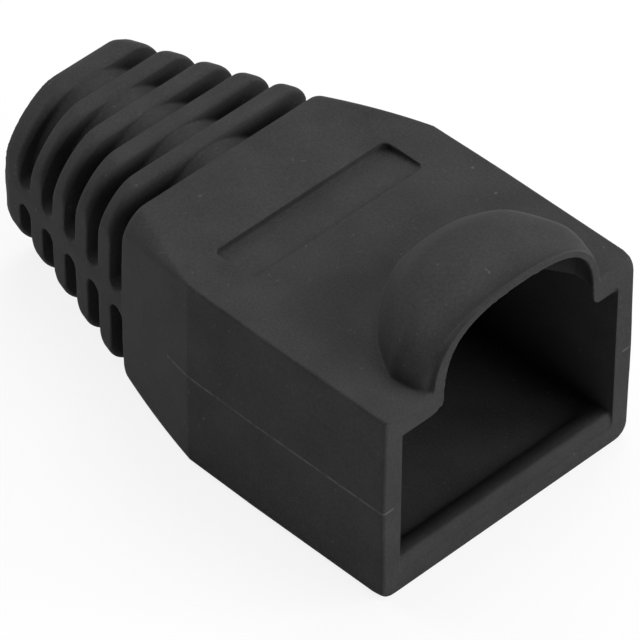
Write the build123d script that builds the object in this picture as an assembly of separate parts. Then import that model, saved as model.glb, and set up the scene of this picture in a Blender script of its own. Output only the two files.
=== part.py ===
from build123d import *
import os

os.makedirs("parts", exist_ok=True)

# What the boot fits: the body of a modular plug, and the jacket of its cable
plug_width = 11.68
plug_clearance = 0.16
cable_diameter = 5.4
cable_clearance = 0.1

# Sleeve, a square tube over the plug
side_wall = 1.0
floor_wall = 0.9
top_wall = 1.0
sleeve_height = 9.55
sleeve_length = 7.3
shoulder_length = 3.7
shoulder_inset = 0.08
draft_inset = 0.07
top_corner = 0.15
bottom_corner = 0.35
mouth_top_corner = 0.4
mouth_bottom_corner = 0.7
mouth_easing = 0.6
round_fullness = 0.55
pocket_depth = 10.5
pocket_radius = 0.3

# Flare, from the sleeve down to the first rib slot
flare_length = 5.05
flare_end_width = 11.4
flare_end_height = 9.1
flare_end_centre = 4.65
flare_end_corner = 0.9
flare_bulge = 0.08
throat_size = 6.4
throat_radius = 2.4
throat_inset = 0.8

# Tail, a round core that steps down from slot to slot and carries ribs, and a collar at its end
slot_count = 5
slot_width = 0.82
rib_thickness = 0.92
collar_length = 1.17
tail_end_width = 7.6
tail_end_height = 7.4
tail_end_centre = 4.6
tail_end_corner = 1.9
tail_fullness = 0.45
tail_end_easing = 0.35
tail_end_inset = 0.15
cable_axis_height = 4.5
core_front_radius = 3.72
core_rear_radius = 3.26
web_height = 0.85

# Hood over the latch, as arches at set distances behind the mouth, a little to one side of the middle
hood_offset = 0.3
hood_rim_half_width = 4.66
hood_rim_rise = 2.95
hood_neck_distance = 1.0
hood_neck_half_width = 5.16
hood_neck_rise = 2.8
hood_crown_distance = 2.7
hood_crown_half_width = 4.76
hood_crown_rise = 3.22
hood_back_distance = 4.3
hood_back_half_width = 3.36
hood_back_rise = 2.7
hood_tail_distance = 5.5
hood_tail_half_width = 1.75
hood_tail_rise = 1.2
hood_length = 6.3
hood_nose_half_width = 0.4
hood_fullness = 0.72
hood_side_wall = 0.5
hood_roof_wall = 0.33
hood_root = 0.6

# Snap ridges just inside the mouth, and the label recess on the top
floor_ridge_length = 1.4
floor_ridge_height = 0.7
stub_ridge_length = 1.2
stub_ridge_height = 0.5
ridge_inset = 0.1
label_width = 9.5
label_length = 2.25
label_depth = 0.38
label_radius = 0.35
label_distance = 9.5

# Sizes that follow from those above
pocket_width = plug_width + 2 * plug_clearance
sleeve_width = pocket_width + 2 * side_wall
pocket_top = sleeve_height - top_wall
bore_radius = cable_diameter / 2 + cable_clearance
slot_pitch = slot_width + rib_thickness
flare_start = sleeve_length + shoulder_length
flare_end = flare_start + flare_length
tail_length = slot_count * slot_width + (slot_count - 1) * rib_thickness + collar_length
overall_length = flare_end + tail_length
beyond = 1.0


def behind_mouth(distance):
    """X of the plane that lies this far behind the mouth."""
    return overall_length / 2 - distance


def cross_plane(distance):
    """Plane across the boot, with its own X along the width and its own Y up."""
    return Plane(origin=(behind_mouth(distance), 0, 0), x_dir=(0, 1, 0), z_dir=(1, 0, 0))


def shell_outline(distance, width, bottom, top, top_size, bottom_size, fullness):
    """Outer section: its sides lean in from the parting height, as a two-part mould needs."""
    half = width / 2
    lean = half - draft_inset
    parting = (top + bottom) / 2
    upper = corner_curve(lean, top, top_size, -1, fullness)
    lower = corner_curve(lean, bottom, bottom_size, 1, fullness)
    side = [Line((half, parting), upper @ 0), upper]
    below = [lower, Line(lower @ 0, (half, parting))]
    right = side + below
    left = [edge.mirror(Plane.YZ) for edge in right]
    crown = Line(upper @ 1, left[1] @ 1)
    sole = Line(lower @ 1, left[2] @ 1)
    return cross_plane(distance) * make_face(Wire(right + left + [crown, sole]))


def corner_curve(side, level, size, inward, fullness):
    """One corner as a single curve: round at a fullness of 0.55, and close to a chamfer below 0.3."""
    handle = size * (1 - fullness)
    points = [(side, level + inward * size), (side, level + inward * handle),
              (side - handle, level), (side - size, level)]
    return Bezier(*points)


def outer_shell():
    """Sleeve, flare and tail envelope, ruled from section to section. The flare swells at its waist."""
    shoulder_width = sleeve_width - 2 * shoulder_inset
    flare_bottom = flare_end_centre - flare_end_height / 2
    flare_top = flare_bottom + flare_end_height
    tail_bottom = tail_end_centre - tail_end_height / 2
    tail_top = tail_bottom + tail_end_height
    mouth_corners = (mouth_top_corner, mouth_bottom_corner, round_fullness)
    sleeve_corners = (top_corner, bottom_corner, round_fullness)
    flare_corners = (flare_end_corner, flare_end_corner, round_fullness)
    tail_corners = (tail_end_corner, tail_end_corner, tail_fullness)
    mouth = shell_outline(0, sleeve_width, 0, sleeve_height, *mouth_corners)
    eased = shell_outline(mouth_easing, sleeve_width, 0, sleeve_height, *sleeve_corners)
    straight = shell_outline(sleeve_length, sleeve_width, 0, sleeve_height, *sleeve_corners)
    shoulder = shell_outline(flare_start, shoulder_width, 0, sleeve_height, *sleeve_corners)
    waist = shell_outline(
        flare_start + flare_length / 2,
        (shoulder_width + flare_end_width) / 2 + 2 * flare_bulge,
        flare_bottom / 2,
        (sleeve_height + flare_top) / 2 + flare_bulge / 2,
        (top_corner + flare_end_corner) / 2,
        (bottom_corner + flare_end_corner) / 2,
        round_fullness,
    )
    flare = shell_outline(flare_end, flare_end_width, flare_bottom, flare_top, *flare_corners)
    collar_distance = overall_length - tail_end_easing
    collar = shell_outline(collar_distance, tail_end_width, tail_bottom, tail_top, *tail_corners)
    end = shell_outline(
        overall_length,
        tail_end_width - 2 * tail_end_inset,
        tail_bottom + tail_end_inset,
        tail_top - tail_end_inset,
        *tail_corners,
    )
    return loft([mouth, eased, straight, shoulder, waist, flare, collar, end], ruled=True)


def arch(distance, half_width, crown):
    """Arch section: two full quarter curves that meet at the crown, over a flat foot below the top."""
    foot = sleeve_height - hood_root
    rise = crown - foot
    quarter = [(half_width, foot), (half_width, foot + hood_fullness * rise),
               (hood_fullness * half_width, crown), (0, crown)]
    right = Bezier(*[(hood_offset + y, z) for y, z in quarter])
    left = Bezier(*[(hood_offset - y, z) for y, z in reversed(quarter)])
    base = Line((hood_offset - half_width, foot), (hood_offset + half_width, foot))
    return cross_plane(distance) * make_face([right, left, base])


def hood_solid(side_inset, roof_inset):
    """Hood shape through its six arches, smaller by the insets, with its nose drawn forward."""
    stations = [
        (0, hood_rim_half_width, hood_rim_rise),
        (hood_neck_distance, hood_neck_half_width, hood_neck_rise),
        (hood_crown_distance, hood_crown_half_width, hood_crown_rise),
        (hood_back_distance, hood_back_half_width, hood_back_rise),
        (hood_tail_distance, hood_tail_half_width, hood_tail_rise),
        (hood_length, hood_nose_half_width + side_inset, 0),
    ]
    shrink = (hood_length - side_inset) / hood_length
    return loft([
        arch(distance * shrink, half_width - side_inset, sleeve_height + rise - roof_inset)
        for distance, half_width, rise in stations
    ])


def latch_hollow():
    """Hollow of the hood, open at the mouth and straight down into the pocket."""
    hollow = hood_solid(hood_side_wall, hood_roof_wall)
    foot = hollow.faces().sort_by(Axis.Z)[0]
    drop = sleeve_height - hood_root - pocket_top + 2 * stub_ridge_height
    return hollow + extrude(foot, drop, dir=(0, 0, -1))


def plug_pocket():
    """Pocket for the plug, a funnel behind it, and the bore for the cable."""
    height = pocket_top - floor_wall
    centre = floor_wall + height / 2
    mouth = Pos(0, centre) * RectangleRounded(pocket_width, height, pocket_radius)
    throat = Pos(0, cable_axis_height) * RectangleRounded(throat_size, throat_size, throat_radius)
    pocket = extrude(cross_plane(pocket_depth) * mouth, pocket_depth + beyond)
    throat_distance = flare_end - throat_inset
    funnel = loft([cross_plane(throat_distance) * throat, cross_plane(pocket_depth) * mouth], ruled=True)
    bore_circle = Pos(0, cable_axis_height) * Circle(bore_radius)
    bore_length = tail_length + throat_inset + beyond
    bore = extrude(cross_plane(throat_distance) * bore_circle, -bore_length)
    return pocket + funnel + bore


def ridge(length, height, surface, direction):
    """Rounded snap ridge from wall to wall, raised from a surface up or down."""
    start = behind_mouth(ridge_inset)
    crest = (start - length / 2, surface + direction * height)
    profile = make_face([
        ThreePointArc((start, surface), crest, (start - length, surface)),
        Line((start - length, surface), (start, surface)),
    ])
    return extrude(Plane.XZ * profile, pocket_width / 2, both=True)


def label_recess():
    """Shallow bare recess across the top."""
    centre = behind_mouth(label_distance + label_length / 2)
    outline = RectangleRounded(label_length, label_width, label_radius)
    field = Pos(centre, 0, sleeve_height - label_depth) * outline
    return extrude(field, label_depth + beyond)


def tail_slots():
    """Slots over and under the tail, which leave ribs round a core, and webs between round ends."""
    reach = sleeve_height
    middle = cable_axis_height + web_height / 2 + reach / 2
    over = None
    for index in range(slot_count):
        distance = flare_end + index * slot_pitch + slot_width / 2
        profile = Pos(behind_mouth(distance), middle) * SlotOverall(reach, slot_width, rotation=90)
        share = index / (slot_count - 1)
        radius = core_front_radius + share * (core_rear_radius - core_front_radius)
        core_circle = Pos(0, cable_axis_height) * Circle(radius)
        core = extrude(cross_plane(distance) * core_circle, slot_width, both=True)
        cut = extrude(Plane.XZ * profile, sleeve_width / 2, both=True) - core
        over = cut if over is None else over + cut
    under = mirror(over, Plane.XY.offset(cable_axis_height))
    return over, under


def boot():
    """The whole moulding."""
    body = outer_shell() + hood_solid(0, 0)
    body -= plug_pocket()
    body += ridge(floor_ridge_length, floor_ridge_height, floor_wall, 1)
    body += ridge(stub_ridge_length, stub_ridge_height, pocket_top, -1)
    body -= latch_hollow()
    body -= label_recess()
    for slots in tail_slots():
        body -= slots
    return body


part = boot()
part.label = "strain_relief_boot"
export_step(part, "parts/strain_relief_boot.step")
print("solids", len(part.solids()), "volume", round(part.volume, 1))
print("box", part.bounding_box())
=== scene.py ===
import logging
import math
from collections.abc import Sequence
from dataclasses import dataclass, fields, replace
from enum import Enum

import bmesh
import bpy
from mathutils import Matrix, Vector


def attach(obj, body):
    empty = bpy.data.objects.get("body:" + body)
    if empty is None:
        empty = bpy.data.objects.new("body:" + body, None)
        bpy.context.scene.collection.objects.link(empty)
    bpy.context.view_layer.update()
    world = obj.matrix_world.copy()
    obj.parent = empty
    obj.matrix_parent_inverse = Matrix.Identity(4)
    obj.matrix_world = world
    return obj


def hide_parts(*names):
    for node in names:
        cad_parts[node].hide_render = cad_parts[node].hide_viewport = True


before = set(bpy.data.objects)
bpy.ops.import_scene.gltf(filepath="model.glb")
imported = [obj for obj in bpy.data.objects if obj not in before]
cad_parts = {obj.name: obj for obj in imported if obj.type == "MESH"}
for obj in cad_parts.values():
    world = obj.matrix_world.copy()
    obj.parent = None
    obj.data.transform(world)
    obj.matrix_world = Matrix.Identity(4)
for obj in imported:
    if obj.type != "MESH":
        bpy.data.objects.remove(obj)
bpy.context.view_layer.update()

LOG: logging.Logger = logging.getLogger("boot")

# Metres in a millimetre. The forms are cut in millimetres, and the finished boot is scaled.
MM: float = 0.001

# Sizes that several forms share, in millimetres
HALF_LENGTH: float = 12.5
SLEEVE_TOP: float = 9.55
SLEEVE_FLOOR: float = 0.9
POCKET_ROOF: float = 8.55
AXIS_HEIGHT: float = 4.5

# How far a cutting form reaches past the surface that it opens
BEYOND: float = 1.0

Point2 = tuple[float, float]
Ring = list[Vector]
Value = bpy.types.NodeSocket | float


class Joining(Enum):
    """How one solid is joined with another."""

    ADD = "UNION"
    CUT = "DIFFERENCE"


class Facing(Enum):
    """Which way a form goes from the level that it starts at."""

    UP = 1
    DOWN = -1


class Operation(Enum):
    """What a Math node works out."""

    SIZE = "ABSOLUTE"
    EQUAL = "COMPARE"
    ABOVE = "GREATER_THAN"
    HIGHER = "MAXIMUM"
    TIMES = "MULTIPLY"


def at(distance: float, across: float, height: float) -> Vector:
    """Point in millimetres that lies this far behind the mouth."""
    return Vector((HALF_LENGTH - distance, across, height))


def bezier(points: Sequence[Point2], count: int) -> list[Point2]:
    """Samples a cubic curve in a section plane.

    Args:
        points: The four control points.
        count: How many points to return, both ends included.

    Returns:
        The sampled points, in order.
    """
    start, first, second, end = (Vector(p) for p in points)
    curve: list[Point2] = []
    for step in range(count):
        t = step / (count - 1)
        s = 1 - t
        p = start * s**3 + first * 3 * s * s * t + second * 3 * s * t * t + end * t**3
        curve.append((p.x, p.y))
    return curve


def arc(centre: Point2, radius: float, start: float, sweep: float, steps: int) -> list[Point2]:
    """Steps along a circle in a section plane.

    Args:
        centre: Centre of the circle.
        radius: Its radius.
        start: Angle of the first point, in degrees.
        sweep: Angle from the first point to the last, in degrees.
        steps: How many straight pieces the arc has.

    Returns:
        The points, both ends included.
    """
    angles = [math.radians(start + sweep * step / steps) for step in range(steps + 1)]
    return [(centre[0] + radius * math.cos(a), centre[1] + radius * math.sin(a)) for a in angles]


def blend(knots: Sequence[float], values: Sequence[float], where: float) -> float:
    """Reads a curve that runs through the values without overshooting them.

    Args:
        knots: Rising positions of the values.
        values: One value at each position.
        where: The position to read, held inside the knots.

    Returns:
        The value there.
    """
    where = min(max(where, knots[0]), knots[-1])
    steps = [b - a for a, b in zip(knots, knots[1:])]
    slopes = [(b - a) / h for a, b, h in zip(values, values[1:], steps)]
    tangents = [slopes[0]]
    for before, after in zip(slopes, slopes[1:]):
        same_way = before * after > 0
        tangents.append(2 * before * after / (before + after) if same_way else 0.0)
    tangents.append(slopes[-1])
    index = max(i for i in range(len(steps)) if knots[i] <= where)
    h = steps[index]
    t = (where - knots[index]) / h
    return (
        values[index] * (1 + 2 * t) * (1 - t) ** 2
        + tangents[index] * h * t * (1 - t) ** 2
        + values[index + 1] * t * t * (3 - 2 * t)
        - tangents[index + 1] * h * t * t * (1 - t)
    )


def spread(start: float, end: float, step: float) -> list[float]:
    """Even positions from start to end, about one step apart, both ends included."""
    count = max(1, round(abs(end - start) / step))
    return [start + (end - start) * i / count for i in range(count + 1)]


def edge_inset(radius: float, gap: float) -> float:
    """How far a rounded edge draws the surface in at this distance from the edge."""
    return radius - math.sqrt(radius**2 - (radius - gap) ** 2) if gap < radius else 0.0


class Solid:
    """A closed mesh in millimetres that can be joined with others."""

    def __init__(self, name: str, mesh: bpy.types.Mesh) -> None:
        """Links the mesh into the scene under a name."""
        self.thing: bpy.types.Object = bpy.data.objects.new(name, mesh)
        bpy.context.scene.collection.objects.link(self.thing)

    @classmethod
    def loft(cls, name: str, rings: Sequence[Ring]) -> "Solid":
        """Skins a row of closed rings and closes both ends.

        Args:
            name: Name of the new mesh.
            rings: Closed outlines, each with the same number of points.

        Returns:
            The closed solid.
        """
        work = bmesh.new()
        rows = [[work.verts.new(point) for point in ring] for ring in rings]
        for near, far in zip(rows, rows[1:]):
            for i in range(len(near)):
                j = (i + 1) % len(near)
                work.faces.new((near[i], near[j], far[j], far[i]))
        work.faces.new(rows[0])
        work.faces.new(rows[-1])
        bmesh.ops.recalc_face_normals(work, faces=work.faces)
        mesh = bpy.data.meshes.new(name)
        work.to_mesh(mesh)
        work.free()
        return cls(name, mesh)

    @classmethod
    def across(cls, name: str, profile: Sequence[Point2], reach: float) -> "Solid":
        """Extrudes a profile, as it is seen from the side, across the boot.

        Args:
            name: Name of the new mesh.
            profile: Closed outline, as distances behind the mouth and heights.
            reach: How far it goes to each side of the middle.

        Returns:
            The closed solid.
        """
        return cls.loft(name, [[at(d, y, z) for d, z in profile] for y in (-reach, reach)])

    def settle(self) -> None:
        """Replaces the mesh by what its modifiers make of it."""
        bpy.context.view_layer.update()
        shaped = self.thing.evaluated_get(bpy.context.evaluated_depsgraph_get())
        fresh = bpy.data.meshes.new_from_object(shaped)
        old = self.thing.data
        self.thing.modifiers.clear()
        self.thing.data = fresh
        bpy.data.meshes.remove(old)

    def join(self, other: "Solid", joining: Joining) -> None:
        """Adds or cuts another solid, which is used up.

        Args:
            other: The solid to add or to cut away.
            joining: Which of the two is done.
        """
        step = self.thing.modifiers.new(joining.name, "BOOLEAN")
        step.operation = joining.value
        step.solver = "EXACT"
        step.object = other.thing
        self.settle()
        other.discard()

    def discard(self) -> None:
        """Removes the solid and its mesh."""
        mesh = self.thing.data
        bpy.data.objects.remove(self.thing)
        bpy.data.meshes.remove(mesh)


@dataclass(frozen=True)
class Station:
    """One cross-section of the outer shell, in millimetres.

    The upper corners differ: top_corner is on the +Y side and left_corner on the -Y side.
    """

    distance: float
    half_width: float
    bottom: float
    top: float
    top_corner: float
    left_corner: float
    bottom_corner: float
    fullness: float

    def ring(self, draft: float) -> Ring:
        """Outline of the section, from one end of its flat underside over the top to the other.

        Args:
            draft: How far the sides lean in from the parting height.

        Returns:
            The closed outline.
        """
        side = self.half_width - draft
        lower = self._corner(side, self.bottom, self.bottom_corner, Facing.UP)
        flank = [*reversed(lower), (self.half_width, (self.top + self.bottom) / 2)]
        right = flank + self._corner(side, self.top, self.top_corner, Facing.DOWN)
        left = flank + self._corner(side, self.top, self.left_corner, Facing.DOWN)
        outline = right + [(-y, z) for y, z in reversed(left)]
        return [at(self.distance, y, z) for y, z in outline]

    def _corner(self, side: float, level: float, size: float, inward: Facing,
                count: int = 12) -> list[Point2]:
        """One corner, from the side to the top or the underside.

        Args:
            side: Half the width of the section at the corner.
            level: Height of the top or the underside.
            size: How far the corner reaches along both.
            inward: The way into the section from that level.
            count: Points on the corner.

        Returns:
            The points of the corner.
        """
        handle = size * (1 - self.fullness)
        control = [(side, level + inward.value * size), (side, level + inward.value * handle),
                   (side - handle, level), (side - size, level)]
        return bezier(control, count)


@dataclass(frozen=True)
class SlotRow:
    """Row of slots along the tail, in millimetres."""

    count: int = 5
    width: float = 0.82
    rib: float = 0.92
    start: float = 16.05

    def fronts(self) -> list[float]:
        """Distance from the mouth to the front wall of each slot."""
        return [self.start + index * (self.width + self.rib) for index in range(self.count)]


@dataclass(frozen=True)
class Shell:
    """Outer shell: square sleeve, flare and the envelope of the tail."""

    draft: float = 0.07
    spacing: float = 0.25
    fine_spacing: float = 0.06
    mouth_easing: float = 1.0
    flare_start: float = 11.0
    swell: float = 0.08
    mouth_radius: float = 0.1
    rib_radius: float = 0.28
    rib_corner_growth: float = 1.6
    slots: SlotRow = SlotRow()
    stations: tuple[Station, ...] = (
        Station(0.0, 6.985, 0.0, 9.55, 0.95, 0.35, 0.75, 0.55),
        Station(0.1, 6.985, 0.0, 9.55, 0.6, 0.25, 0.55, 0.55),
        Station(0.25, 6.985, 0.0, 9.55, 0.34, 0.16, 0.45, 0.55),
        Station(0.6, 6.985, 0.0, 9.55, 0.16, 0.08, 0.35, 0.55),
        Station(7.3, 6.985, 0.0, 9.55, 0.15, 0.08, 0.35, 0.55),
        Station(11.0, 6.92, 0.0, 9.55, 0.15, 0.08, 0.35, 0.55),
        Station(16.05, 5.7, 0.1, 9.2, 0.9, 1.05, 0.9, 0.42),
        Station(16.87, 5.56, 0.18, 9.13, 0.9, 1.6, 1.1, 0.42),
        Station(24.65, 3.86, 0.9, 8.3, 1.5, 2.8, 1.8, 0.38),
        Station(25.0, 3.72, 1.05, 8.15, 1.5, 2.7, 1.8, 0.38),
    )

    def section(self, distance: float) -> Station:
        """Reads the section at any distance, with the flare's swell and the rounded edges.

        Args:
            distance: How far behind the mouth the section lies.

        Returns:
            The section there.
        """
        near = [s for s in self.stations[:-1] if s.distance <= distance][-1]
        far = self.stations[self.stations.index(near) + 1]
        share = (distance - near.distance) / (far.distance - near.distance)
        names = [f.name for f in fields(Station) if f.name != "distance"]
        read = {n: getattr(near, n) + share * (getattr(far, n) - getattr(near, n)) for n in names}
        if near.distance == self.flare_start:
            bulge = self.swell * 4 * share * (1 - share)
            read["half_width"] += bulge
            read["top"] += bulge / 2
        rim, rib = edge_inset(self.mouth_radius, distance), self._rib_inset(distance)
        read["half_width"] -= rim
        for inset in (rim, rib):
            read["top"] -= inset
            read["bottom"] += inset
        read["left_corner"] += self.rib_corner_growth * rib
        read["bottom_corner"] += rib
        return replace(near, distance=distance, **read)

    def _rib_inset(self, distance: float) -> float:
        """How far the round of the nearest rib edge draws the surface in.

        Args:
            distance: How far behind the mouth.

        Returns:
            The inset there.
        """
        fronts = self.slots.fronts()
        edges = fronts + [front + self.slots.width for front in fronts]
        return edge_inset(self.rib_radius, min(abs(distance - edge) for edge in edges))

    def build(self) -> Solid:
        """Lofts the closed envelope from the mouth to the end of the tail.

        Returns:
            The envelope, with close sections where edges are rounded.
        """
        knots = [s.distance for s in self.stations]
        places = [knots[0]]
        for a, b in zip(knots, knots[1:]):
            plain = self.mouth_easing < b < self.slots.start
            places += spread(a, b, self.spacing if plain else self.fine_spacing)[1:]
        return Solid.loft("shell", [self.section(d).ring(self.draft) for d in places])


@dataclass(frozen=True)
class Arch:
    """One arch of the hood, in millimetres."""

    distance: float
    half_width: float
    rise: float


@dataclass(frozen=True)
class Hood:
    """Domed hood over the plug's latch, open at the mouth, with a groove behind its rim."""

    top: float = SLEEVE_TOP
    foot: float = 8.95
    foot_depth: float = 0.01
    offset: float = 0.3
    hollow_offset: float = 0.42
    fullness: float = 0.706
    hollow_fullness: float = 0.74
    side_wall: float = 0.5
    roof_wall: float = 0.3
    drop: float = 1.4
    stub_height: float = 8.05
    stub_radius: float = 0.9
    stub_steps: int = 8
    spacing: float = 0.12
    quarter_points: int = 24
    arches: tuple[Arch, ...] = (
        Arch(0.0, 4.64, 2.97),
        Arch(0.18, 4.66, 2.95),
        Arch(0.42, 4.97, 2.52),
        Arch(0.8, 5.15, 2.53),
        Arch(1.3, 5.23, 2.84),
        Arch(1.65, 5.24, 2.98),
        Arch(2.3, 4.94, 3.15),
        Arch(3.3, 4.31, 3.2),
        Arch(4.4, 3.22, 2.63),
        Arch(5.3, 2.02, 1.45),
        Arch(6.0, 0.95, 0.45),
        Arch(6.3, 0.4, 0.0),
    )

    def _ring(self, arch: Arch, middle: float, leg: Sequence[Point2], fullness: float) -> Ring:
        """Outline of an arch that stands on two legs.

        Args:
            arch: The arch.
            middle: Where its middle is across the boot.
            leg: Points of a leg from its foot up, as a step outwards and a height.
            fullness: How square the arch is.

        Returns:
            The closed outline.
        """
        half, height = arch.half_width, self.top + arch.rise - self.foot
        crown = self.foot + height
        quarter = [(half, self.foot), (half, self.foot + fullness * height),
                   (fullness * half, crown), (0.0, crown)]
        right = [(half + out, z) for out, z in leg] + bezier(quarter, self.quarter_points)
        left = [(-y, z) for y, z in reversed(right[:-1])]
        return [at(arch.distance, middle + y, z) for y, z in right + left]

    def _row(self, side_wall: float, roof_wall: float) -> list[Arch]:
        """Closely spaced arches of the dome, drawn in by the walls.

        Args:
            side_wall: Wall at the sides and at the nose.
            roof_wall: Wall at the roof.

        Returns:
            The arches, from the mouth to the nose.
        """
        knots = [a.distance for a in self.arches]
        halves = [a.half_width for a in self.arches]
        rises = [a.rise for a in self.arches]
        halves[-1] += side_wall
        shrink = (knots[-1] - side_wall) / knots[-1]
        row = []
        for d in spread(0.0, knots[-1], self.spacing):
            half, rise = blend(knots, halves, d), blend(knots, rises, d)
            row.append(Arch(d * shrink, half - side_wall, rise - roof_wall))
        return row

    def build(self) -> Solid:
        """Lofts the outer form of the hood.

        Returns:
            The dome, rooted in the roof of the sleeve.
        """
        leg = [(0.0, self.foot - self.foot_depth)]
        row = self._row(0.0, 0.0)
        return Solid.loft("hood", [self._ring(a, self.offset, leg, self.fullness) for a in row])

    def build_hollow(self) -> Solid:
        """Lofts the space under the hood, which is open to the mouth and to the pocket.

        Returns:
            The cutting form, flared at its foot so that it rounds the stubs on both sides.
        """
        row = self._row(self.side_wall, self.roof_wall)
        row.insert(0, replace(row[0], distance=-BEYOND))
        r = self.stub_radius
        flare = arc((r, self.stub_height + r), r, -90, -90, self.stub_steps)
        leg = [(r, self.foot - self.drop)] + flare
        rings = [self._ring(a, self.hollow_offset, leg, self.hollow_fullness) for a in row]
        return Solid.loft("hollow", rings)


@dataclass(frozen=True)
class Pocket:
    """Pocket for the plug, the funnel behind it, and the bore for the cable."""

    half_width: float = 6.0
    floor: float = SLEEVE_FLOOR
    roof: float = POCKET_ROOF
    radius: float = 0.3
    corner_steps: int = 8
    depth: float = 10.5
    throat_half: float = 3.2
    throat_radius: float = 2.4
    throat_distance: float = 15.25
    axis_height: float = AXIS_HEIGHT
    bore_radius: float = 2.8
    bore_steps: int = 72
    bore_overlap: float = 0.2

    def _rounded(self, distance: float, half: float, low: float, high: float,
                 radius: float) -> Ring:
        """Rounded rectangle across the boot.

        Args:
            distance: How far behind the mouth it lies.
            half: Half its width.
            low: Height of its lower side.
            high: Height of its upper side.
            radius: Radius of its corners.

        Returns:
            The closed outline.
        """
        centres = [(half - radius, low + radius, -90), (half - radius, high - radius, 0),
                   (radius - half, high - radius, 90), (radius - half, low + radius, 180)]
        return [at(distance, *point) for y, z, start in centres
                for point in arc((y, z), radius, start, 90, self.corner_steps)]

    def build(self) -> Solid:
        """Lofts the pocket and the funnel.

        Returns:
            Both as one cutting form.
        """
        mouth = (self.half_width, self.floor, self.roof, self.radius)
        low, high = self.axis_height - self.throat_half, self.axis_height + self.throat_half
        throat = (self.throat_half, low, high, self.throat_radius)
        return Solid.loft("pocket", [
            self._rounded(-BEYOND, *mouth),
            self._rounded(self.depth, *mouth),
            self._rounded(self.throat_distance, *throat),
        ])

    def build_bore(self) -> Solid:
        """Lofts the round bore from the throat out of the tail.

        Returns:
            The cutting form.
        """
        circle = arc((0.0, self.axis_height), self.bore_radius, 0, 360, self.bore_steps)[:-1]
        ends = (self.throat_distance - self.bore_overlap, 2 * HALF_LENGTH + BEYOND)
        return Solid.loft("bore", [[at(d, y, z) for y, z in circle] for d in ends])


@dataclass(frozen=True)
class Ridge:
    """Snap ridge from wall to wall, just inside the mouth, steep in front and with a long back."""

    name: str
    length: float
    height: float
    level: float
    facing: Facing
    crest_share: float
    start: float = 0.06
    half_width: float = 6.3
    root: float = 0.3
    steepness: float = 0.7
    crest_roundness: float = 0.3
    foot_share: float = 0.93
    foot_rise: float = 0.3
    front_points: int = 10
    back_points: int = 16

    def build(self) -> Solid:
        """Extrudes the ridge's profile across the pocket.

        Returns:
            The ridge, rooted in the wall that it stands on.
        """
        crest, length, height = self.crest_share * self.length, self.length, self.height
        front = [(0.0, 0.0), (0.0, self.steepness * height),
                 (self.crest_roundness * crest, height), (crest, height)]
        back = [(crest, height), ((crest + length) / 2, height),
                (self.foot_share * length, self.foot_rise * height), (length, 0.0)]
        up = self.facing.value
        curve = bezier(front, self.front_points) + bezier(back, self.back_points)[1:]
        profile = [(self.start + d, self.level + up * rise) for d, rise in curve]
        root = self.level - up * self.root
        profile += [(self.start + length, root), (self.start, root)]
        return Solid.across(self.name, profile, self.half_width)


@dataclass(frozen=True)
class LabelRecess:
    """Shallow bare recess across the top, whose floor rises a little towards the mouth."""

    width: float = 9.5
    length: float = 2.25
    depth: float = 0.4
    front_depth: float = 0.14
    radius: float = 0.35
    corner_steps: int = 6
    distance: float = 9.5
    top: float = SLEEVE_TOP

    def build(self) -> Solid:
        """Makes the rounded block that cuts the recess.

        Returns:
            The cutting form.
        """
        front, rear = self.distance + self.radius, self.distance + (self.length - self.radius)
        side = self.width / 2 - self.radius
        centres = [(rear, side, 0), (front, side, 90), (front, -side, 180), (rear, -side, 270)]
        outline = [point for d, y, start in centres
                   for point in arc((d, y), self.radius, start, 90, self.corner_steps)]
        slope = (self.depth - self.front_depth) / self.length
        shallow = self.top - self.front_depth
        floor = [at(d, y, shallow - slope * (d - self.distance)) for d, y in outline]
        return Solid.loft("label", [floor, [at(d, y, self.top + BEYOND) for d, y in outline]])


@dataclass(frozen=True)
class TailSlots:
    """Slots over and under the tail, which leave ribs round a core and two side webs.

    The core's ends are each given as a radius and how much taller it is above its axis.
    """

    row: SlotRow = SlotRow()
    axis_height: float = AXIS_HEIGHT
    web_height: float = 0.85
    core_front: tuple[float, float] = (3.75, 0.75)
    core_rear: tuple[float, float] = (3.2, 0.3)
    core_steps: int = 96
    slot_steps: int = 16
    reach: float = 8.0

    def _profile(self, front: float, facing: Facing) -> list[Point2]:
        """Slot seen from the side: one full-round end at the web, and open outwards.

        Args:
            front: Distance from the mouth to the slot's front wall.
            facing: Up for a slot over the tail, down for one under it.

        Returns:
            The closed profile, as a distance and a height.
        """
        half, up = self.row.width / 2, facing.value
        middle = front + half
        end = self.axis_height + up * (self.web_height / 2 + half)
        far = self.axis_height + up * self.reach
        round_end = arc((middle, end), half, 0, -up * 180, self.slot_steps)
        return [(middle + half, far), *round_end, (middle - half, far)]

    def _core_ring(self, distance: float, radius: float, crown: float) -> Ring:
        """Round section of the core, a little taller above its axis.

        Args:
            distance: How far behind the mouth it lies.
            radius: Its radius.
            crown: How much taller it is above its axis.

        Returns:
            The closed outline.
        """
        circle = arc((0.0, 0.0), radius, 0, 360, self.core_steps)[:-1]
        stretch = (radius + crown) / radius
        return [at(distance, y, self.axis_height + z * (stretch if z > 0 else 1))
                for y, z in circle]

    def build_core(self) -> Solid:
        """Lofts the tapering core that the slots stop at.

        Returns:
            The core, longer than the tail at both ends.
        """
        return Solid.loft("core", [
            self._core_ring(self.row.start - BEYOND, *self.core_front),
            self._core_ring(2 * HALF_LENGTH + BEYOND, *self.core_rear),
        ])

    def build(self, facing: Facing) -> Solid:
        """All slots of one side, trimmed round the core.

        Args:
            facing: Up for the slots over the tail, down for those under it.

        Returns:
            The cutting form.
        """
        first, *others = [Solid.across("slot", self._profile(front, facing), self.reach)
                          for front in self.row.fronts()]
        for other in others:
            first.join(other, Joining.ADD)
        first.join(self.build_core(), Joining.CUT)
        return first


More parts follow.
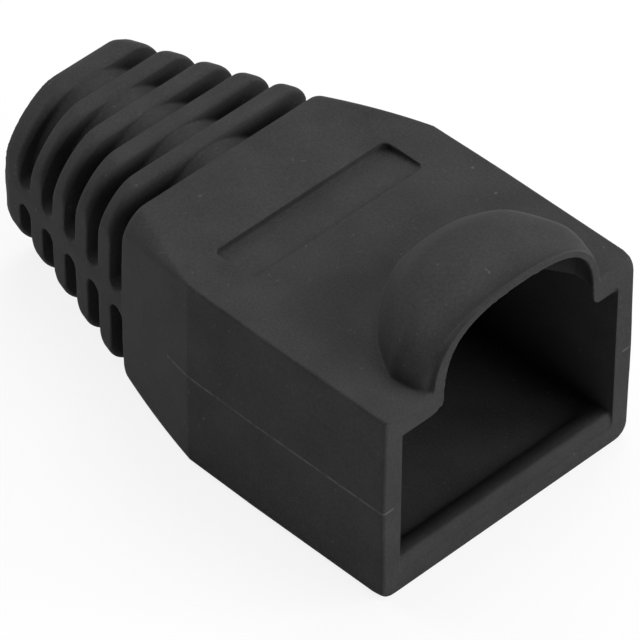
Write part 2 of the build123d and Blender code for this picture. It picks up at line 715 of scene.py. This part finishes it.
class Wiring:
    """Nodes and links of one shader tree."""

    def __init__(self, tree: bpy.types.NodeTree) -> None:
        """Takes the tree to work in."""
        self.tree: bpy.types.NodeTree = tree

    def feed(self, target: bpy.types.NodeSocket, value: Value) -> None:
        """Gives a socket its value.

        Args:
            target: The socket.
            value: A number, or the output to link it to.
        """
        if isinstance(value, bpy.types.NodeSocket):
            self.tree.links.new(value, target)
        else:
            target.default_value = value

    def add(self, kind: str, inputs: dict[str | int, Value] | None = None,
            **settings: object) -> bpy.types.Node:
        """Adds a node.

        Args:
            kind: Type of the node, without its ShaderNode prefix.
            inputs: Values of its sockets.
            settings: Its properties.

        Returns:
            The new node.
        """
        made = self.tree.nodes.new("ShaderNode" + kind)
        for key, value in settings.items():
            setattr(made, key, value)
        for key, value in (inputs or {}).items():
            self.feed(made.inputs[key], value)
        return made

    def work_out(self, what: Operation, *values: Value) -> bpy.types.NodeSocket:
        """Calculates with one to three values."""
        made = self.add("Math", dict(enumerate(values)), operation=what.value)
        return made.outputs["Value"]

    def mix(self, share: Value, first: Value, second: Value) -> bpy.types.NodeSocket:
        """Goes from the first value to the second as the share rises from 0 to 1."""
        made = self.add("Mix", {"Factor": share, "A": first, "B": second}, data_type="FLOAT")
        return made.outputs["Result"]

    def ramp(self, value: Value, source: tuple[Value, Value], result: tuple[Value, Value],
             smooth: bool = False) -> bpy.types.NodeSocket:
        """Maps a range of values to another.

        Args:
            value: The value to map.
            source: Ends of the range that it comes from.
            result: What those ends become.
            smooth: Whether the values between them ease in and out.

        Returns:
            The mapped value.
        """
        inputs = {"Value": value, "From Min": source[0], "From Max": source[1],
                  "To Min": result[0], "To Max": result[1]}
        made = self.add("MapRange", inputs, interpolation_type="SMOOTHSTEP" if smooth else "LINEAR")
        return made.outputs["Result"]

    def place(self) -> bpy.types.NodeSocket:
        """Position on the object, in its own coordinates."""
        return self.add("TexCoord").outputs["Object"]

    def noise(self, scale: Value, detail: float, roughness: float = 0.5) -> bpy.types.NodeSocket:
        """Adds a noise that is fixed to the object.

        Args:
            scale: Cells to the metre.
            detail: How many finer layers it has.
            roughness: How strong they are.

        Returns:
            Its level, around 0.5.
        """
        inputs = {"Vector": self.place(), "Scale": scale, "Detail": detail,
                  "Roughness": roughness}
        return self.add("TexNoise", inputs, noise_dimensions="3D").outputs["Fac"]


class EffectGroup(Wiring):
    """Shader node group with named inputs and outputs, for an effect that a finish uses."""

    def __init__(self, name: str, values: dict[str, float], results: Sequence[str]) -> None:
        """Starts a group.

        Args:
            name: Name of the group.
            values: Its inputs, each with its starting value.
            results: Its outputs.
        """
        super().__init__(bpy.data.node_groups.new(name, "ShaderNodeTree"))
        sockets = self.tree.interface
        kind = "NodeSocketFloat"
        for key, value in values.items():
            made = sockets.new_socket(name=key, in_out="INPUT", socket_type=kind)
            made.default_value = value
        for key in results:
            sockets.new_socket(name=key, in_out="OUTPUT", socket_type=kind)
        self.given = self.tree.nodes.new("NodeGroupInput").outputs
        self.result = self.tree.nodes.new("NodeGroupOutput").inputs


@dataclass(frozen=True)
class MouldGrain:
    """Fine spark-eroded grain of a moulded surface, over a broad mottle."""

    cell: float = 9000.0
    cell_layers: float = 3.0
    cell_roughness: float = 0.6
    mottle: float = 500.0
    mottle_layers: float = 4.0
    mottle_share: float = 0.4

    def build(self) -> bpy.types.NodeTree:
        """Wires the group.

        Returns:
            A group with a Height output for the grain, and a Tone output for both together.
        """
        values = {"Cell": self.cell, "Mottle": self.mottle}
        group = EffectGroup("mould_grain", values, ("Height", "Tone"))
        fine = group.noise(group.given["Cell"], self.cell_layers, self.cell_roughness)
        broad = group.noise(group.given["Mottle"], self.mottle_layers)
        group.feed(group.result["Height"], fine)
        group.feed(group.result["Tone"], group.mix(self.mottle_share, fine, broad))
        return group.tree


@dataclass(frozen=True)
class PaintedGlints:
    """Sparse pale dots painted into the colour as glints of light on the grain: painted highlights.
    """

    scale: float = 4000.0
    layers: float = 1.0
    rarity: float = 0.7

    def build(self) -> bpy.types.NodeTree:
        """Wires the group.

        Returns:
            A group whose Mask output is 1 on a painted glint.
        """
        group = EffectGroup("painted_glints", {"Scale": self.scale, "Rarity": self.rarity}, ("Mask",))
        cells = group.noise(group.given["Scale"], self.layers)
        mask = group.ramp(cells, (group.given["Rarity"], 1.0), (0.0, 1.0), smooth=True)
        group.feed(group.result["Mask"], mask)
        return group.tree


@dataclass(frozen=True)
class PartingLineHighlight:
    """Pale, slightly broken hairline along each side, where the halves of the mould met; the
    paleness is a painted highlight, standing in for the light caught by the thin flash there.

    In metres: its height, half its thickness, how far aside of the middle the surface has to be
    to show it, and how far from the middle of the length it ends at the rear.
    """

    height: float = SLEEVE_TOP / 2 * MM
    thickness: float = 0.055 * MM
    side: float = 6.4 * MM
    rear: float = 0.1 * MM
    wear_scale: float = 2500.0
    wear_layers: float = 2.0
    wear_range: tuple[float, float] = (0.35, 0.6)
    strength: tuple[float, float] = (0.3, 1.0)

    def build(self) -> bpy.types.NodeTree:
        """Wires the group.

        Returns:
            A group whose Mask output is 1 on the line's painted highlight.
        """
        values = {"Height": self.height, "Thickness": self.thickness,
                  "Side": self.side, "Rear": self.rear}
        group = EffectGroup("parting_line_highlight", values, ("Mask",))
        given = group.given
        axes = group.add("SeparateXYZ", {"Vector": group.place()}).outputs
        aside = group.work_out(Operation.SIZE, axes["Y"])
        wear = group.noise(self.wear_scale, self.wear_layers)
        mask = group.ramp(wear, self.wear_range, self.strength)
        for part in (
            group.work_out(Operation.EQUAL, axes["Z"], given["Height"], given["Thickness"]),
            group.work_out(Operation.ABOVE, aside, given["Side"]),
            group.work_out(Operation.ABOVE, axes["X"], given["Rear"]),
        ):
            mask = group.work_out(Operation.TIMES, mask, part)
        group.feed(group.result["Mask"], mask)
        return group.tree


@dataclass(frozen=True)
class SoftPlastic:
    """Matte black soft plastic with the fine grain of its mould."""

    name: str = "soft_black_plastic"
    dark: float = 0.033
    pale: float = 0.055
    # The next two tones are painted light: pale dots for glints on the grain, and a pale hairline
    # for a highlight along the parting line.
    glint_tone: float = 0.14
    seam: float = 0.085
    roughness: float = 0.5
    roughness_spread: float = 0.14
    refraction: float = 1.5
    gloss: float = 0.01
    grain_cell: float = 9000.0
    grain_depth: float = 0.01 * MM
    grain_range: tuple[float, float] = (0.3, 0.7)

    def build(self, grain: bpy.types.NodeTree, glints: bpy.types.NodeTree,
              line: bpy.types.NodeTree) -> bpy.types.Material:
        """Wires the material.

        Args:
            grain: The group for the grain.
            glints: The group for the painted glints.
            line: The group for the painted highlight along the parting line.

        Returns:
            The finished material.
        """
        material = bpy.data.materials.new(self.name)
        material.use_nodes = True
        tree = Wiring(material.node_tree)
        shader = material.node_tree.nodes["Principled BSDF"].inputs
        shader["IOR"].default_value = self.refraction
        shader["Specular IOR Level"].default_value = self.gloss
        texture = tree.add("Group", node_tree=grain)
        texture.inputs["Cell"].default_value = self.grain_cell
        height = texture.outputs["Height"]
        tone = tree.ramp(texture.outputs["Tone"], self.grain_range, (self.dark, self.pale))
        # Paints the glints on the grain and the highlight along the parting line into the base
        # colour.
        for group, level in ((glints, self.glint_tone), (line, self.seam)):
            mask = tree.add("Group", node_tree=group).outputs["Mask"]
            tone = tree.mix(mask, tone, level)
        tree.feed(shader["Base Color"], tone)
        half = self.roughness_spread / 2
        roughness = tree.ramp(
            height, self.grain_range, (self.roughness - half, self.roughness + half))
        tree.feed(shader["Roughness"], roughness)
        bump = tree.add("Bump", {"Distance": self.grain_depth, "Height": height})
        tree.feed(shader["Normal"], bump.outputs["Normal"])
        return material


@dataclass(frozen=True)
class Boot:
    """The whole moulding, cut from its forms and then softened as it comes from a mould."""

    shell: Shell = Shell()
    hood: Hood = Hood()
    pocket: Pocket = Pocket()
    label: LabelRecess = LabelRecess()
    slots: TailSlots = TailSlots()
    floor_ridge: Ridge = Ridge(
        "floor_ridge", length=1.35, height=0.73, level=SLEEVE_FLOOR, facing=Facing.UP,
        crest_share=0.15)
    stub_ridge: Ridge = Ridge(
        "stub_ridge", length=1.2, height=0.5, level=POCKET_ROOF, facing=Facing.DOWN,
        crest_share=0.35)
    voxel: float = 0.05
    smoothing: float = 0.5
    softening: int = 2
    triangles: int = 185_000

    def build(self, finish: bpy.types.Material) -> bpy.types.Object:
        """Cuts, softens and dresses the boot.

        Args:
            finish: Material of the whole moulding.

        Returns:
            The boot in metres, riding on its body in place of the plain solid.
        """
        body = self._carve()
        self._soften(body)
        boot = body.thing
        boot.name = "boot_moulding"
        boot.data.name = "boot_moulding"
        boot.data.transform(Matrix.Scale(MM, 4))
        boot.data.materials.clear()
        boot.data.materials.append(finish)
        weighted = boot.modifiers.new("weighted", "WEIGHTED_NORMAL")
        weighted.mode = "FACE_AREA"
        body.settle()
        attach(boot, "root")
        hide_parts("strain_relief_boot")
        return boot

    def _carve(self) -> Solid:
        """Joins and cuts the plain forms.

        Returns:
            The moulding with crisp edges, in millimetres.
        """
        body = self.shell.build()
        body.join(self.hood.build(), Joining.ADD)
        body.join(self.pocket.build(), Joining.CUT)
        body.join(self.pocket.build_bore(), Joining.CUT)
        body.join(self.floor_ridge.build(), Joining.ADD)
        body.join(self.stub_ridge.build(), Joining.ADD)
        body.join(self.hood.build_hollow(), Joining.CUT)
        body.join(self.label.build(), Joining.CUT)
        for facing in Facing:
            body.join(self.slots.build(facing), Joining.CUT)
        return body

    def _soften(self, body: Solid) -> None:
        """Rounds every edge a little, and thins the mesh where it is flat.

        Args:
            body: The moulding, whose mesh is replaced.
        """
        remesh = body.thing.modifiers.new("even", "REMESH")
        remesh.mode = "VOXEL"
        remesh.voxel_size = self.voxel
        smooth = body.thing.modifiers.new("soft", "SMOOTH")
        smooth.factor = self.smoothing
        smooth.iterations = self.softening
        body.settle()
        count = sum(len(p.vertices) - 2 for p in body.thing.data.polygons)
        LOG.info("softened mesh before thinning: %d triangles", count)
        thin = body.thing.modifiers.new("thin", "DECIMATE")
        thin.ratio = min(1.0, self.triangles / count)
        body.settle()
        body.thing.data.shade_smooth()


@dataclass(frozen=True)
class Lamp:
    """One soft round lamp, in metres and watts."""

    name: str
    place: tuple[float, float, float]
    size: float
    power: float

    def build(self, aim: Vector) -> None:
        """Adds the lamp.

        Args:
            aim: The point that it is turned to.
        """
        light = bpy.data.lights.new(self.name, "AREA")
        light.shape = "DISK"
        light.size = self.size
        light.energy = self.power
        lamp = bpy.data.objects.new(self.name, light)
        lamp.location = self.place
        lamp.rotation_euler = (aim - lamp.location).to_track_quat("-Z", "Y").to_euler()
        bpy.context.scene.collection.objects.link(lamp)


@dataclass(frozen=True)
class PhotoCamera:
    """Camera at the photograph's viewing angle, in degrees and millimetres."""

    azimuth: float = 44.97
    elevation: float = 42.52
    roll: float = 0.53
    distance: float = 287.5
    lens: float = 408.9
    sensor: float = 36.0
    aside: float = -7.374
    above: float = 7.789
    clip: tuple[float, float] = (0.01, 10.0)

    def build(self) -> None:
        """Places the camera and makes it the scene's camera."""
        a, e, r = (math.radians(v) for v in (self.azimuth, self.elevation, self.roll))
        back = Vector((math.sin(a) * math.cos(e), -math.cos(a) * math.cos(e), math.sin(e)))
        level = Vector((math.cos(a), math.sin(a), 0.0))
        upright = back.cross(level)
        right = level * math.cos(r) + upright * math.sin(r)
        up = upright * math.cos(r) - level * math.sin(r)
        data = bpy.data.cameras.new("photo_camera")
        data.sensor_width = self.sensor
        data.lens = self.lens
        data.clip_start, data.clip_end = self.clip
        camera = bpy.data.objects.new("photo_camera", data)
        turn = Matrix((right, up, back)).transposed().to_4x4()
        aim = Vector((HALF_LENGTH, 0, 0))
        place = back * self.distance + right * self.aside + up * self.above + aim
        camera.matrix_world = Matrix.Translation(place * MM) @ turn
        bpy.context.scene.collection.objects.link(camera)
        bpy.context.scene.camera = camera


def seen_directly(tree: Wiring) -> bpy.types.NodeSocket:
    """Tells rays that show the white background from those that light the object.

    Args:
        tree: The material or world to work in.

    Returns:
        One where the eye, a sharp reflection or a refraction sees the surface, and else nothing.
    """
    path = tree.add("LightPath").outputs
    seen = tree.work_out(Operation.HIGHER, path["Is Camera Ray"], path["Is Glossy Ray"])
    return tree.work_out(Operation.HIGHER, seen, path["Is Transmission Ray"])


@dataclass(frozen=True)
class WhiteSweep:
    """White floor that shows nearly white to the eye and keeps a soft shadow."""

    name: str = "white_sweep"
    tone: float = 0.9
    roughness: float = 0.9
    glow: float = 0.85

    def build(self) -> bpy.types.Material:
        """Wires the material.

        Returns:
            The finished material.
        """
        material = bpy.data.materials.new(self.name)
        material.use_nodes = True
        nodes = material.node_tree.nodes
        tree = Wiring(material.node_tree)
        shader = nodes["Principled BSDF"]
        shader.inputs["Base Color"].default_value = (self.tone, self.tone, self.tone, 1.0)
        shader.inputs["Roughness"].default_value = self.roughness
        shader.inputs["Specular IOR Level"].default_value = 0.0
        light = tree.add("Emission").outputs["Emission"]
        share = tree.work_out(Operation.TIMES, seen_directly(tree), self.glow)
        mixed = tree.add("MixShader", {0: share, 1: shader.outputs["BSDF"], 2: light})
        tree.feed(nodes["Material Output"].inputs["Surface"], mixed.outputs["Shader"])
        return material


@dataclass(frozen=True)
class Studio:
    """White floor, soft lamps and a white room, in metres."""

    floor_size: float = 3.0
    floor_finish: WhiteSweep = WhiteSweep()
    aim: tuple[float, float, float] = (0.0, 0.0, 0.005)
    lamps: tuple[Lamp, ...] = (
        Lamp("top_lamp", (0.0, -0.05, 0.45), 0.35, 0.52),
        Lamp("rear_top_lamp", (-0.1, 0.2, 0.42), 0.3, 1.1),
        Lamp("mouth_lamp", (0.42, 0.12, 0.2), 0.3, 1.05),
        Lamp("tail_lamp", (-0.45, -0.1, 0.2), 0.3, 1.05),
        Lamp("far_lamp", (0.3, 0.35, 0.25), 0.25, 1.2),
    )

    def build(self) -> None:
        """Adds the floor, the world, the lamps and the colour setting."""
        self._floor()
        self._world()
        for lamp in self.lamps:
            lamp.build(Vector(self.aim))
        bpy.context.scene.view_settings.view_transform = "Standard"

    def _floor(self) -> None:
        """Adds the floor, which isn't part of the boot."""
        work = bmesh.new()
        bmesh.ops.create_grid(work, x_segments=1, y_segments=1, size=self.floor_size / 2)
        mesh = bpy.data.meshes.new("floor")
        work.to_mesh(mesh)
        work.free()
        mesh.materials.append(self.floor_finish.build())
        floor = bpy.data.objects.new("floor", mesh)
        bpy.context.scene.collection.objects.link(floor)

    def _world(self) -> None:
        """Adds a room that is white to the eye and to reflections, and gives no other light."""
        world = bpy.data.worlds.new("white_room")
        world.use_nodes = True
        tree = Wiring(world.node_tree)
        backdrop = world.node_tree.nodes["Background"].inputs
        backdrop["Color"].default_value = (1.0, 1.0, 1.0, 1.0)
        tree.feed(backdrop["Strength"], seen_directly(tree))
        bpy.context.scene.world = world


def main() -> None:
    """Builds the boot and the studio, and reports each piece."""
    logging.basicConfig(level=logging.INFO, format="%(message)s")
    PhotoCamera().build()
    Studio().build()
    effects = MouldGrain().build(), PaintedGlints().build(), PartingLineHighlight().build()
    finish = SoftPlastic().build(*effects)
    boot = Boot().build(finish)
    LOG.info("boot moulding: %d faces", len(boot.data.polygons))


if __name__ == "__main__":
    main()
